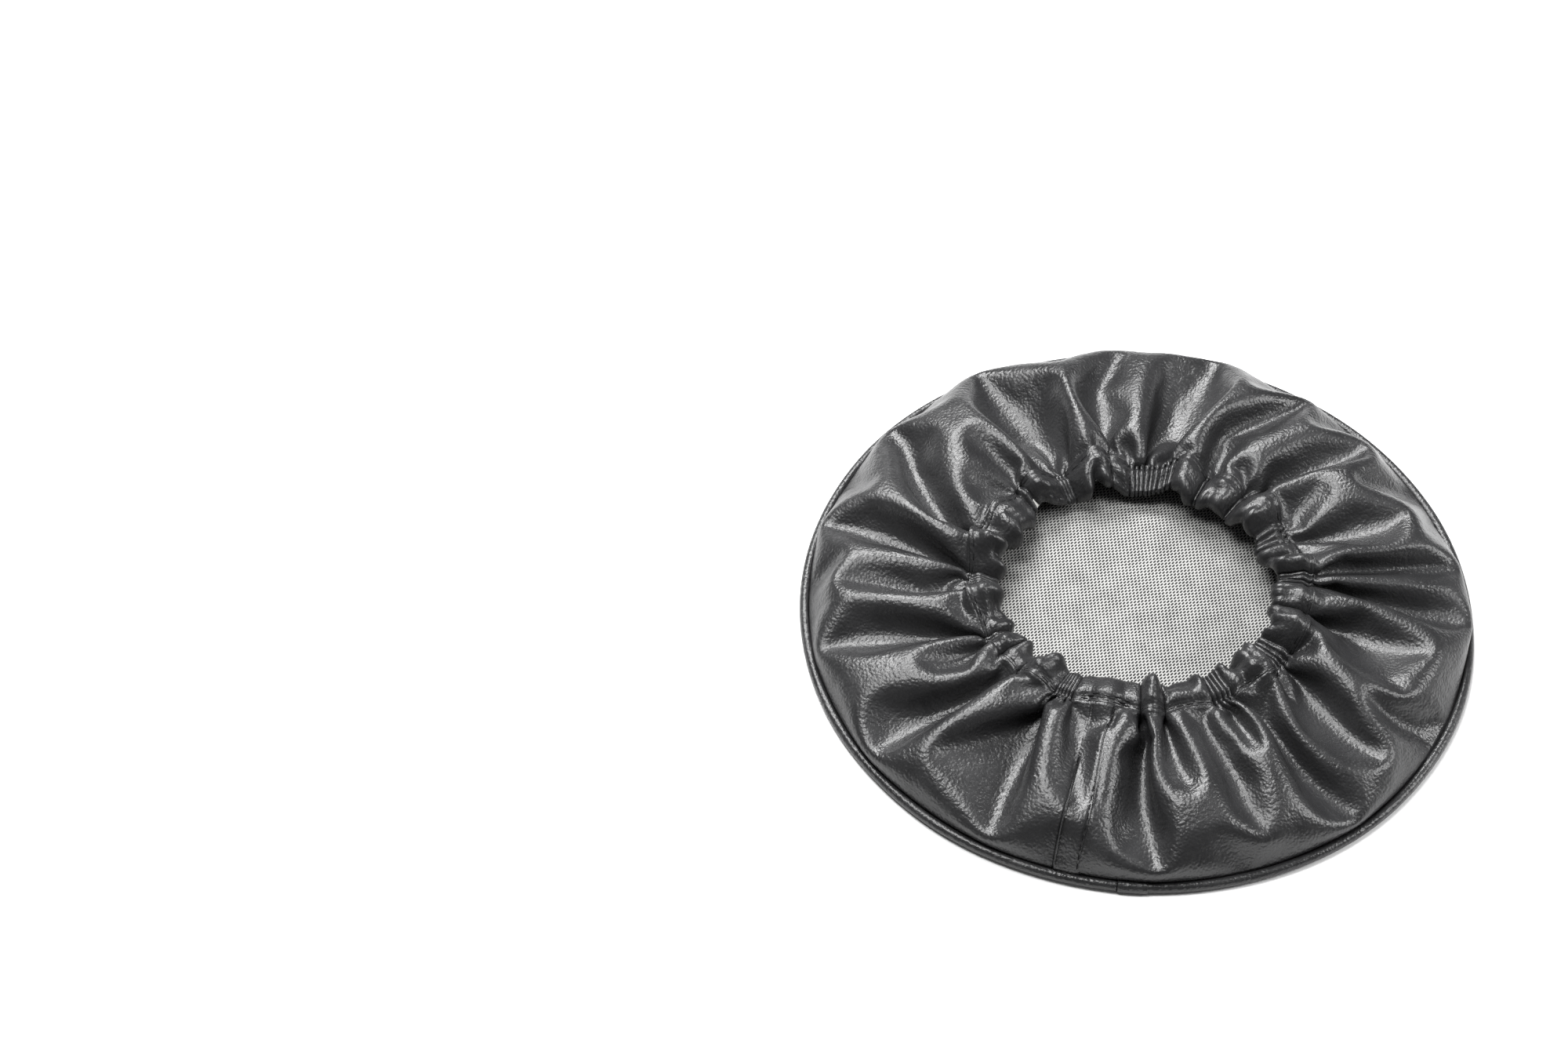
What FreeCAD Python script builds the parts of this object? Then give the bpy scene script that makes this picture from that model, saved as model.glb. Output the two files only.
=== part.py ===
"""Spare wheel cover of coated cloth: a round front panel, a piped rim, a side band and an elasticated mouth.

It lies face down. Z is up and the origin is the centre of the front panel's outer face. Lengths are in millimetres.
"""
import FreeCAD, Part
import math
import os

# the whole cover
COVER_RADIUS = 200.0        # over the piping, for the smallest trailer wheels
FILM = 0.7                  # coated outer skin of the cloth
KNIT = 0.3                  # net-like knitted backing bonded to the skin
CLOTH = FILM + KNIT
PLY_GAP = 0.05              # air between two plies that are sewn together

# the rim
PIPING_RADIUS = 3.1         # over the sleeve
SEAM_ALLOWANCE = 13.5       # cloth left inside the rim seam
SEAM_RADIUS = COVER_RADIUS - 2 * PIPING_RADIUS
RAW_EDGE_RADIUS = SEAM_RADIUS - SEAM_ALLOWANCE
LAP_ANGLE = 263.5           # where the two ends of the piping meet
LAP_LENGTH = 17.0
LAP_SKIN = 0.6
LAP_REACH = (-50, 28, 105)  # start, middle and end of the lapped end's wrap round the cord, in degrees
PIPING_BUTT_GAP = 0.6       # between the two ends under the lap
RIM_STITCH_INSET = 1.5      # of the rim seam's thread, inside the piping's closing thread

# the side band, as steps of (length along the cloth, turn in degrees) from its raw edge to the hem
BAND_FIRST_TURN = 2.4
BAND_STEPS = [(12.3, 0), (BAND_FIRST_TURN, 84), (34.0, 50), (31.0, 54), (57.7, 16)]
BAND_JOIN_ANGLE = 252.5     # where the band's two ends are sewn together
BAND_JOIN_WIDTH = 13.6      # cloth turned to one side of that seam
BAND_JOIN_GAP = 0.3         # the crease between the two ends
BAND_JOIN_PLIES = 2         # ends turned aside behind the seam
JOINING_THREAD_OFFSET = 2.0 # of the seam's hidden thread, beside the turned ends
SIDE_SEAM_START = 2.0       # bare cloth before the side seam's first stitch

# the mouth
HEM_GAP = 0.4               # between the band's line and the casing, which moves
HEM_CLEARANCE = 2.4         # left off the band's end, so that the widest ply of the casing slides past it
CASING_DEPTH = 21.5
CASING_BOW = 4.0            # how far each ply of the casing bows, in degrees
FOLD_RADIUS = 2.3           # of the cloth's middle where it turns round the elastic
HEM_STITCH_INSET = 1.5      # of the hem's stitches from the band
ELASTIC_WIDTH = 19.0
ELASTIC_THICKNESS = 1.2
ELASTIC_LAP = 28.0
ELASTIC_LAP_ANGLE = 250.0
ELASTIC_BUTT_GAP = 0.7      # between its two ends under the lap
ELASTIC_CLEARANCE = 0.35    # between the elastic and the casing
TACK_INSET = 2.0            # of the elastic's joining stitches from its edges

# the thread
THREAD = 0.8                # heavy thread in the seams that show
FINE_THREAD = 0.5           # thread in the seams between plies
STITCH_PITCH = 6.4
STITCH_SHARE = 0.8          # of the pitch that one stitch covers
BACKTACK_STITCHES = 4
BACKTACK_ROWS = (3.6, 5.4)  # distances of the doubled rows from the band

UP = FreeCAD.Vector(0, 0, 1)
CENTRE = FreeCAD.Vector(0, 0, 0)


def in_section(radius, height):
    """A point of a cross-section, which is drawn at angle 0."""
    return FreeCAD.Vector(radius, 0, height)


def on_circle(centre, radius, angle):
    """A point of a circle in a cross-section, at an angle from outwards towards up."""
    turn = math.radians(angle)
    return in_section(centre[0] + radius * math.cos(turn), centre[1] + radius * math.sin(turn))


class ClothLine:
    """The middle line of a ply in a cross-section, made of straight and round steps that run on smoothly."""

    def __init__(self, start, heading, steps):
        self.steps = steps
        self.starts = [(start[0], start[1], math.radians(heading))]
        for length, turn in steps:
            self.starts.append(self.move(self.starts[-1], length, math.radians(turn)))

    @staticmethod
    def move(state, length, turn):
        radius, height, heading = state
        if abs(turn) < 1e-9:
            return (radius + length * math.cos(heading), height + length * math.sin(heading), heading)
        bend = length / turn
        after = heading + turn
        radius += bend * (math.sin(after) - math.sin(heading))
        height += bend * (math.cos(heading) - math.cos(after))
        return (radius, height, after)

    @property
    def length(self):
        return sum(length for length, turn in self.steps)

    def state(self, distance):
        """Radius, height and heading at a distance along the line."""
        for start, (length, turn) in zip(self.starts, self.steps):
            if distance <= length:
                return self.move(start, distance, math.radians(turn) * distance / length)
            distance -= length
        return self.starts[-1]

    @staticmethod
    def beside(state, offset):
        """The point at an offset to the left of a state, which is the inside of the cover."""
        radius, height, heading = state
        return in_section(radius - offset * math.sin(heading), height + offset * math.cos(heading))

    def shortened(self, cut):
        """The same line, ending sooner."""
        length, turn = self.steps[-1]
        kept = (length - cut, turn * (length - cut) / length)
        radius, height, heading = self.starts[0]
        return ClothLine((radius, height), math.degrees(heading), self.steps[:-1] + [kept])

    def edges(self, offset):
        edges = []
        for start, end, (length, turn) in zip(self.starts, self.starts[1:], self.steps):
            first = self.beside(start, offset)
            last = self.beside(end, offset)
            if turn:
                middle = self.move(start, length / 2, math.radians(turn) / 2)
                edges.append(Part.Arc(first, self.beside(middle, offset), last).toShape())
            else:
                edges.append(Part.LineSegment(first, last).toShape())
        return edges

    def section(self, low, high):
        """The face between two offsets."""
        low_edges = self.edges(low)
        high_edges = self.edges(high)
        ends = []
        for state in (self.starts[0], self.starts[-1]):
            ends.append(Part.LineSegment(self.beside(state, low), self.beside(state, high)).toShape())
        wire = Part.Wire(Part.__sortEdges__(low_edges + [ends[1]] + high_edges + [ends[0]]))
        return Part.Face(wire)


def ring(face, start_angle=0.0, sweep=360.0):
    """A cross-section swept round the cover's axis."""
    solid = face.revolve(CENTRE, UP, sweep)
    solid.rotate(CENTRE, UP, start_angle)
    return solid


def degrees_along(length, radius):
    return math.degrees(length / radius)


def stitch(middle, direction, length, diameter):
    """The visible run of one stitch."""
    direction.normalize()
    return Part.makeCylinder(diameter / 2, length, middle - direction * (length / 2), direction)


def round_stitches(state, offset, count, length, diameter):
    """Stitches end to end round the cover, at a state and offset of a cloth line."""
    middle = ClothLine.beside(state, offset)
    first = stitch(middle, FreeCAD.Vector(0, 1, 0), length, diameter)
    stitches = []
    for number in range(count):
        copy = first.copy()
        copy.rotate(CENTRE, UP, 360.0 * number / count)
        stitches.append(copy)
    return Part.makeCompound(stitches)


def climbing_stitches(line, first, last, offset, angle, diameter):
    """Stitches up the side of the cover, between two distances along a cloth line."""
    count = round((last - first) / STITCH_PITCH)
    pitch = (last - first) / count
    stitches = []
    for number in range(count):
        state = line.state(first + pitch * (number + 0.5))
        along = in_section(math.cos(state[2]), math.sin(state[2]))
        one = stitch(line.beside(state, offset), along, pitch * STITCH_SHARE, diameter)
        one.rotate(CENTRE, UP, angle)
        stitches.append(one)
    return Part.makeCompound(stitches)


def front_panel():
    """The round panel, whose edge is turned back inside the rim seam."""
    turn_radius = CLOTH / 2 + PLY_GAP / 2
    turn_length = math.pi * turn_radius
    flat = SEAM_RADIUS - turn_radius - CLOTH / 2
    steps = [(flat, 0), (turn_length, 180), (flat - RAW_EDGE_RADIUS, 0)]
    line = ClothLine((0, CLOTH / 2), 0, steps)
    film = ring(line.section(-CLOTH / 2, CLOTH / 2 - KNIT))
    backing = ring(line.section(CLOTH / 2 - KNIT, CLOTH / 2))
    return {"front_panel_vinyl": film, "front_panel_backing": backing}


def piping():
    """A strip of cloth folded round a cord. Its two ends are lapped."""
    centre = (COVER_RADIUS - PIPING_RADIUS, PIPING_RADIUS)
    cord_radius = PIPING_RADIUS - CLOTH
    hole_radius = cord_radius + PLY_GAP
    mouth_angle = math.degrees(math.asin(CLOTH / PIPING_RADIUS))
    slit_angle = math.degrees(math.asin(PLY_GAP / 2 / hole_radius))
    outer = [on_circle(centre, PIPING_RADIUS, a) for a in (180 + mouth_angle, 0, 180 - mouth_angle)]
    inner = [on_circle(centre, hole_radius, a) for a in (180 - slit_angle, 0, 180 + slit_angle)]
    corners = [
        in_section(RAW_EDGE_RADIUS, outer[2].z),
        in_section(RAW_EDGE_RADIUS, inner[0].z),
        in_section(RAW_EDGE_RADIUS, inner[2].z),
        in_section(RAW_EDGE_RADIUS, outer[0].z),
    ]
    edges = [
        Part.Arc(*outer).toShape(),
        Part.LineSegment(outer[2], corners[0]).toShape(),
        Part.LineSegment(corners[0], corners[1]).toShape(),
        Part.LineSegment(corners[1], inner[0]).toShape(),
        Part.Arc(*inner).toShape(),
        Part.LineSegment(inner[2], corners[2]).toShape(),
        Part.LineSegment(corners[2], corners[3]).toShape(),
        Part.LineSegment(corners[3], outer[0]).toShape(),
    ]
    butt = degrees_along(PIPING_BUTT_GAP, COVER_RADIUS)
    sleeve = ring(Part.Face(Part.Wire(edges)), LAP_ANGLE + butt, 360 - butt)
    circle = Part.Circle(in_section(*centre), FreeCAD.Vector(0, 1, 0), cord_radius)
    cord = ring(Part.Face(Part.Wire(circle.toShape())), LAP_ANGLE + butt, 360 - butt)
    return {"piping_sleeve": sleeve, "piping_cord": cord, "piping_end_lap": piping_lap(centre)}


def piping_lap(centre):
    """The end of the sleeve that is wrapped over the other end."""
    low = PIPING_RADIUS + PLY_GAP
    high = low + LAP_SKIN
    inner = [on_circle(centre, low, a) for a in LAP_REACH]
    outer = [on_circle(centre, high, a) for a in LAP_REACH]
    edges = [
        Part.Arc(*inner).toShape(),
        Part.LineSegment(inner[2], outer[2]).toShape(),
        Part.Arc(*outer).toShape(),
        Part.LineSegment(outer[0], inner[0]).toShape(),
    ]
    sweep = degrees_along(LAP_LENGTH, COVER_RADIUS)
    return ring(Part.Face(Part.Wire(Part.__sortEdges__(edges))), LAP_ANGLE, sweep)


def band_line():
    """The side band's line. It starts on top of the piping's flange, with room for the closing stitches."""
    flange_top = PIPING_RADIUS + CLOTH
    height = flange_top + FINE_THREAD + 2 * PLY_GAP + CLOTH / 2
    return ClothLine((RAW_EDGE_RADIUS, height), 0, BAND_STEPS)


def side_band(line):
    """The band, the cloth turned aside behind its joining seam, and that seam's two lines of thread."""
    whole = 360 - degrees_along(BAND_JOIN_GAP, SEAM_RADIUS)
    film = ring(line.section(-CLOTH / 2, CLOTH / 2 - KNIT), BAND_JOIN_ANGLE, whole)
    backing = ring(line.section(CLOTH / 2 - KNIT, CLOTH / 2), BAND_JOIN_ANGLE, whole)
    flat_length = BAND_STEPS[0][0] + BAND_FIRST_TURN
    wall = ClothLine(line.starts[2][:2], math.degrees(line.starts[2][2]), line.steps[2:])
    sweep = degrees_along(BAND_JOIN_WIDTH + THREAD, SEAM_RADIUS)
    plies = []
    for number in range(BAND_JOIN_PLIES):
        low = CLOTH / 2 + PLY_GAP + number * (CLOTH + PLY_GAP)
        plies.append(ring(wall.section(low, low + CLOTH), BAND_JOIN_ANGLE, sweep))
    stitch_angle = BAND_JOIN_ANGLE + degrees_along(BAND_JOIN_WIDTH, SEAM_RADIUS)
    outside = -CLOTH / 2 - THREAD / 2
    inside = CLOTH / 2 + PLY_GAP + FINE_THREAD / 2
    beside_plies = BAND_JOIN_ANGLE - degrees_along(JOINING_THREAD_OFFSET, SEAM_RADIUS)
    start = flat_length + SIDE_SEAM_START
    hem = line.length - STITCH_PITCH / 2
    return {
        "side_band_vinyl": film,
        "side_band_backing": backing,
        "side_band_seam_allowance": Part.makeCompound(plies),
        "side_seam_topstitch": climbing_stitches(line, start, hem, outside, stitch_angle, THREAD),
        "side_seam_joining_thread": climbing_stitches(line, start, hem, inside, beside_plies, FINE_THREAD),
    }


def rim_seams(line):
    """The thread that closes the piping strip, and the thread of the rim seam."""
    state = line.state(BAND_STEPS[0][0])
    rim_state = line.state(BAND_STEPS[0][0] - RIM_STITCH_INSET)
    count = round(2 * math.pi * state[0] / STITCH_PITCH)
    length = STITCH_PITCH * STITCH_SHARE
    between_plies = -CLOTH / 2 - PLY_GAP - FINE_THREAD / 2
    on_top = CLOTH / 2 + PLY_GAP + FINE_THREAD / 2
    return {
        "piping_closing_thread": round_stitches(state, between_plies, count, length, FINE_THREAD),
        "rim_seam_thread": round_stitches(rim_state, on_top, count, length, FINE_THREAD),
    }


def mouth(line):
    """The hem turned round the elastic, the elastic and its joint, and the thread that closes the hem."""
    radius, _, heading = line.starts[-1]
    start = ClothLine.move(line.starts[-1], HEM_GAP, 0)
    fold = (math.pi * FOLD_RADIUS, 180)
    reach = CASING_DEPTH - FOLD_RADIUS
    casing = ClothLine(start[:2], math.degrees(heading), [(reach, -CASING_BOW), fold, (reach, CASING_BOW)])
    film = ring(casing.section(-CLOTH / 2, CLOTH / 2 - KNIT))
    backing = ring(casing.section(CLOTH / 2 - KNIT, CLOTH / 2))

    slack = reach - ELASTIC_WIDTH
    edge = casing.state(slack)
    upper = ClothLine(edge[:2], math.degrees(edge[2]), [(ELASTIC_WIDTH, -CASING_BOW)])
    low = CLOTH / 2 + ELASTIC_CLEARANCE
    whole = 360 - degrees_along(ELASTIC_BUTT_GAP, radius)
    elastic = ring(upper.section(low, low + ELASTIC_THICKNESS), ELASTIC_LAP_ANGLE, whole)
    over = low + ELASTIC_THICKNESS + 2 * PLY_GAP
    lap_sweep = degrees_along(ELASTIC_LAP, radius)
    lap = ring(upper.section(over, over + ELASTIC_THICKNESS), ELASTIC_LAP_ANGLE - lap_sweep / 2, lap_sweep)

    tacks = []
    for row in (-1, 1):
        angle = ELASTIC_LAP_ANGLE + row * lap_sweep / 3
        under = over + ELASTIC_THICKNESS + FINE_THREAD / 2
        last = ELASTIC_WIDTH - TACK_INSET
        tacks += climbing_stitches(upper, TACK_INSET, last, under, angle, FINE_THREAD).Solids

    count = round(2 * math.pi * SEAM_RADIUS / STITCH_PITCH)
    hem_state = casing.state(HEM_STITCH_INSET)
    hem_length = 2 * math.pi * hem_state[0] / count * STITCH_SHARE
    outside = -CLOTH / 2 - THREAD / 2
    return {
        "hem_casing_vinyl": film,
        "hem_casing_backing": backing,
        "elastic_band": elastic,
        "elastic_end_lap": lap,
        "elastic_joining_thread": Part.makeCompound(tacks),
        "hem_thread": round_stitches(hem_state, outside, count, hem_length, THREAD),
        "hem_backtack": backtack(casing, outside),
    }


def backtack(casing, outside):
    """The short doubled line of stitches where the hem's sewing starts and stops."""
    stitches = []
    length = STITCH_PITCH * STITCH_SHARE
    for row, distance in enumerate(BACKTACK_ROWS):
        state = casing.state(distance)
        pitch = degrees_along(STITCH_PITCH, state[0])
        for number in range(BACKTACK_STITCHES):
            one = stitch(casing.beside(state, outside), FreeCAD.Vector(0, 1, 0), length, THREAD)
            one.rotate(CENTRE, UP, BAND_JOIN_ANGLE + pitch * (number + row / 2))
            stitches.append(one)
    return Part.makeCompound(stitches)


def all_parts():
    line = band_line()
    parts = {}
    band = side_band(line.shortened(HEM_CLEARANCE))
    for made in (front_panel(), piping(), band, rim_seams(line), mouth(line)):
        parts.update(made)
    return parts


os.makedirs("parts", exist_ok=True)
for name, shape in all_parts().items():
    shape.exportStep(os.path.join("parts", name + ".step"))
    print(name, "valid" if shape.isValid() else "INVALID", len(shape.Solids), round(shape.Volume, 1))
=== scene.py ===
"""Looks of a spare wheel cover of coated cloth, lying face down with its gathered mouth up."""

import math

import bpy
import numpy as np
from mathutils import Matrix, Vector, noise


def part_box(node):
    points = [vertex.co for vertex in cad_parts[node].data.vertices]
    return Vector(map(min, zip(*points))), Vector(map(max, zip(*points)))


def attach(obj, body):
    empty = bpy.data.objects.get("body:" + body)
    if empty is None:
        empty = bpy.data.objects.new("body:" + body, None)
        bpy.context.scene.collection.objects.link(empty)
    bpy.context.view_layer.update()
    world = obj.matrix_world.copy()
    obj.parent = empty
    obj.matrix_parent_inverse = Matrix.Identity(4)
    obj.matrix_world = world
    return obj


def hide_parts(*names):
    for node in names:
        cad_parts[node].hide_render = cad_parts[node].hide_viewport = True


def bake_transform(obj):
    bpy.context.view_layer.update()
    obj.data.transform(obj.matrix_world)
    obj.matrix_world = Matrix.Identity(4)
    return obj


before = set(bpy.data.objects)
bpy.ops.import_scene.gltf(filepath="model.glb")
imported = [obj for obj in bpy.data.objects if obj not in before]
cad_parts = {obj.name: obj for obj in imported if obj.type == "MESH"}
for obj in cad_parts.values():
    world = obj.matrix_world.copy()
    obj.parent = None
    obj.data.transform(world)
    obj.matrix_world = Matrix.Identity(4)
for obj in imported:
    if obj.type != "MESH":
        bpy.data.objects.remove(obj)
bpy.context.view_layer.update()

MM = 0.001

# the cover's main sizes, from the frame
COVER_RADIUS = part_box("piping_sleeve")[1].x
SEAM_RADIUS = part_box("front_panel_vinyl")[1].x
RAW_EDGE_RADIUS = SEAM_RADIUS - 13.5 * MM
HEM_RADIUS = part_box("hem_casing_vinyl")[1].x
BAND_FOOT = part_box("side_band_vinyl")[0].z + 0.5 * MM
PIPING_RADIUS = 3.1 * MM

# the cloth
FILM = 0.7 * MM
KNIT = 0.3 * MM
BAND_DEPTH = 110 * MM           # from the rim seam to the hem
BAND_LENGTH = 2 * math.pi * SEAM_RADIUS
CLOTH_STEP = 4 * MM             # between the points of the cloth while it is gathered
STITCH_PITCH = 6.4 * MM
THREAD = 0.8 * MM
FINE_THREAD = 0.5 * MM          # in the seams that don't show
SKIN_FACE = 0.5 * MM            # of the skin and the knit from the cloth's line, towards the outside
SKIN_BACK = -0.2 * MM
KNIT_BACK = -0.5 * MM

# the side seam, which runs up the band
JOIN_ANGLE = 252.5
JOIN_WIDTH = 13.6 * MM
JOIN_AT_MOUTH = 255.0           # where the mouth's gathers put it

# puffs of the gathered hem: where each starts and ends round the mouth, and how far its cloth comes
# from its side, all in degrees; the cloth between two puffs is taken up in tight pleats
PUFFS = [
    (3, 13, 3), (14, 20, 0), (30, 45, -4), (47, 60, -3), (62, 72, -5), (90, 96, 0), (97, 112, 0),
    (117, 129, 1.5), (134, 155, -4), (156, 173, -5), (181, 203, -3.5), (207, 213, -1.5), (214, 222, -3),
    (224, 237, -3.5), (244, 266, 0), (267, 274, 2), (275, 291, 2), (298, 317, 0), (329, 346, -5),
    (347, 358, -3),
]
PLEAT_CLOTH = 9 * MM            # taken up by one tight pleat

# folds that stand between the rim and the hem: where each starts at the rim, where it is halfway and
# where it meets the hem, in degrees, and how firmly it stands
FOLDS = [
    (8, 4, 5, 1), (27, 36, 35, 1), (55, 54, 53, 0.5), (60, 70, 70, 0.9), (103, 104, 101, 1),
    (122, 126, 127, 0.8),
    (140, 143, 145, 0.5), (152, 159, 162, 1), (181, 186, 188, 1), (207, 210, 211, 0.4), (218, 225, 229, 0.9),
    (244, 241, 241, 0.7), (256, 256, 255, 0.4), (274, 267, 269, 1), (288, 291, 297, 0.9), (308, 306, 312, 1),
    (327, 325, 335, 1), (347, 350, 352, 0.5),
]
FOLD_WIDTH = 6.5                # at the hem, in degrees
FOLD_RISE = 11 * MM
FOLD_REACH = 4 * MM
FOLD_HOLD = 0.5                 # how much a fold's own line holds the cloth


# ---- the gathered hem line ----

def puff_outline(width):
    """A rounded arch over a width, as points along and up."""
    height = min(2 * MM + 0.16 * width, 7 * MM)
    t = np.linspace(-1.25, 1.25, 24)
    along = width * (0.5 + 0.5 * np.sin(t) / math.sin(1.25))
    return along, height * (np.cos(t) - math.cos(1.25)) / (1 - math.cos(1.25))


def pleat_outline(half_width, depth):
    """A narrow fold that goes down and comes up again."""
    t = np.linspace(-1, 1, 17)
    return half_width * t, -depth * np.sqrt(np.maximum(1 - t ** 4, 0))


def run_length(along, up):
    return float(np.hypot(np.diff(along), np.diff(up)).sum())


def pleat_depth(half_width, cloth):
    """The depth at which a pleat takes up a length of cloth."""
    low, high = 0.2 * MM, 30 * MM
    for _ in range(30):
        middle = (low + high) / 2
        if run_length(*pleat_outline(half_width, middle)) < cloth:
            low = middle
        else:
            high = middle
    return middle


def hem_outline():
    """Points of the gathered hem: distance round the mouth, height, and distance along the flat cloth."""
    points = []
    for index, (start, end, side) in enumerate(PUFFS):
        next_start, next_end, next_side = PUFFS[(index + 1) % len(PUFFS)]
        if index == len(PUFFS) - 1:
            next_start += 360
            next_end += 360
        along, up = puff_outline(math.radians(end - start) * HEM_RADIUS)
        next_puff = puff_outline(math.radians(next_end - next_start) * HEM_RADIUS)
        turn = math.radians((next_start + next_end) / 2 + next_side - (start + end) / 2 - side)
        spare = turn * SEAM_RADIUS - (run_length(along, up) + run_length(*next_puff)) / 2
        first = math.radians(start) * HEM_RADIUS
        points += list(zip(first + along, up))
        room = math.radians(next_start - end) * HEM_RADIUS
        count = max(1, min(round(spare / PLEAT_CLOTH), int(room / (2.4 * MM)) + 1))
        pitch = room / count
        half_width = min(0.27 * pitch, 1.3 * MM)
        cloth = max(spare / count - (pitch - 2 * half_width), 2 * half_width + 1 * MM)
        fold_along, fold_up = pleat_outline(half_width, pleat_depth(half_width, cloth))
        for number in range(count):
            middle = math.radians(end) * HEM_RADIUS + pitch * (number + 0.5)
            points += list(zip(middle + fold_along, fold_up))
    points = np.array(points)
    points = np.vstack([points, [points[0, 0] + 2 * math.pi * HEM_RADIUS, points[0, 1]]])
    cloth = np.r_[0, np.cumsum(np.hypot(*np.diff(points, axis=0).T))]
    return points[:, 0], points[:, 1], cloth * BAND_LENGTH / cloth[-1]


def hem_place(cloth_angle):
    """Where the hem's points go round the mouth, as an angle, and how high.

    cloth_angle is along the flat band.
    """
    round_mouth, up, cloth = hem_outline()
    seam_cloth = np.interp(JOIN_AT_MOUTH, np.degrees(round_mouth / HEM_RADIUS), cloth)
    distance = (cloth_angle - math.radians(JOIN_AT_MOUTH)) * SEAM_RADIUS + seam_cloth
    distance = np.where(distance < cloth[0], distance + BAND_LENGTH, distance)
    distance = np.where(distance >= cloth[-1], distance - BAND_LENGTH, distance)
    angle = np.interp(distance, cloth, round_mouth) / HEM_RADIUS
    angle = np.where(angle - cloth_angle > math.pi, angle - 2 * math.pi, angle)
    angle = np.where(angle - cloth_angle < -math.pi, angle + 2 * math.pi, angle)
    return angle, np.interp(distance, cloth, up)


def fold_wave(angle):
    """How much a standing fold lifts the hem at an angle, from 0 to about 1."""
    wave = np.zeros_like(angle)
    for _, _, place, strength in FOLDS:
        away = (np.degrees(angle) - place + 180) % 360 - 180
        wave = np.maximum(wave, strength * np.exp(-(away / FOLD_WIDTH) ** 2))
    return wave


def mouth_height(angle):
    """The mouth lies tilted: its near side rests higher."""
    return 29.5 * MM - 7.5 * MM * np.sin(angle)


def hem_points(cloth_angle, gathered):
    """The hem's points when it is gathered from 0, flat, to 1, as small as the mouth."""
    end_angle, up = hem_place(cloth_angle)
    angle = cloth_angle * (1 - gathered) + end_angle * gathered
    radius = SEAM_RADIUS + (HEM_RADIUS - SEAM_RADIUS) * gathered
    rise = math.sqrt((0.97 * BAND_DEPTH) ** 2 - (SEAM_RADIUS - radius) ** 2)
    drop = np.clip((gathered - 0.45) / 0.55, 0, 1) ** 1.5
    wave = (fold_wave(angle) - 0.5) * gathered
    height = (BAND_FOOT + rise) * (1 - drop) + mouth_height(angle) * drop + up * gathered + FOLD_RISE * wave
    radius = radius + FOLD_REACH * wave
    return np.stack([radius * np.cos(angle), radius * np.sin(angle), height], -1)


def fold_lines(cloth_angle, rows):
    """Where the standing folds' cloth is led: for each guided point its row, column, place and hold."""
    end_angle = hem_place(cloth_angle)[0]
    led = []
    for rim, halfway, hem, strength in FOLDS:
        from_rim = np.abs((np.degrees(cloth_angle) - rim + 180) % 360 - 180)
        from_hem = np.abs((np.degrees(end_angle) - hem + 180) % 360 - 180)
        column = int(np.argmin(0.6 * from_rim + from_hem))
        far = (1 + math.sin(math.radians(halfway))) / 2
        top = mouth_height(math.radians(hem)) + FOLD_RISE / 2
        corners = np.array([
            (SEAM_RADIUS, BAND_FOOT), (SEAM_RADIUS + 5 * MM, BAND_FOOT + (26 + 26 * far) * MM),
            (165 * MM, (26 + 30 * far) * MM), (HEM_RADIUS, top),
        ])
        t = np.linspace(0, 1, 200)[:, None]
        line = ((1 - t) ** 3 * corners[0] + 3 * (1 - t) ** 2 * t * corners[1]
                + 3 * (1 - t) * t ** 2 * corners[2] + t ** 3 * corners[3])
        run = np.r_[0, np.cumsum(np.linalg.norm(np.diff(line, axis=0), axis=1))]
        for row in range(int(0.3 * rows), int(0.88 * rows)):
            share = row / (rows - 1)
            radius = np.interp(share * run[-1], run, line[:, 0])
            height = np.interp(share * run[-1], run, line[:, 1])
            angle = math.radians(np.interp(share, [0, 0.25, 0.6, 1], [rim, rim, halfway, hem]))
            led.append((row, column, (radius * math.cos(angle), radius * math.sin(angle), height), strength))
    return led


# ---- the cloth's mesh ----

def round_faces(rows, columns):
    """Faces of a grid that closes on itself round the cover."""
    index = np.arange(rows * columns).reshape(rows, columns)
    after = np.roll(index, -1, 1)
    return np.stack([index[:-1], after[:-1], after[1:], index[1:]], -1).reshape(-1, 4)


def new_piece(name, points, faces, material=None):
    mesh = bpy.data.meshes.new(name)
    mesh.from_pydata(np.asarray(points, float).tolist(), [], [list(map(int, face)) for face in faces])
    mesh.update()
    piece = bpy.data.objects.new(name, mesh)
    bpy.context.scene.collection.objects.link(piece)
    mesh.polygons.foreach_set("use_smooth", [True] * len(mesh.polygons))
    if material:
        mesh.materials.append(material)
    return piece


SIM_SCALE = 10                  # the cloth is simulated ten times as large, where the solver is steadier
GATHER_FRAMES = 26
SETTLE_FRAMES = 42
GATHER_STEPS = 12


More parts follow.
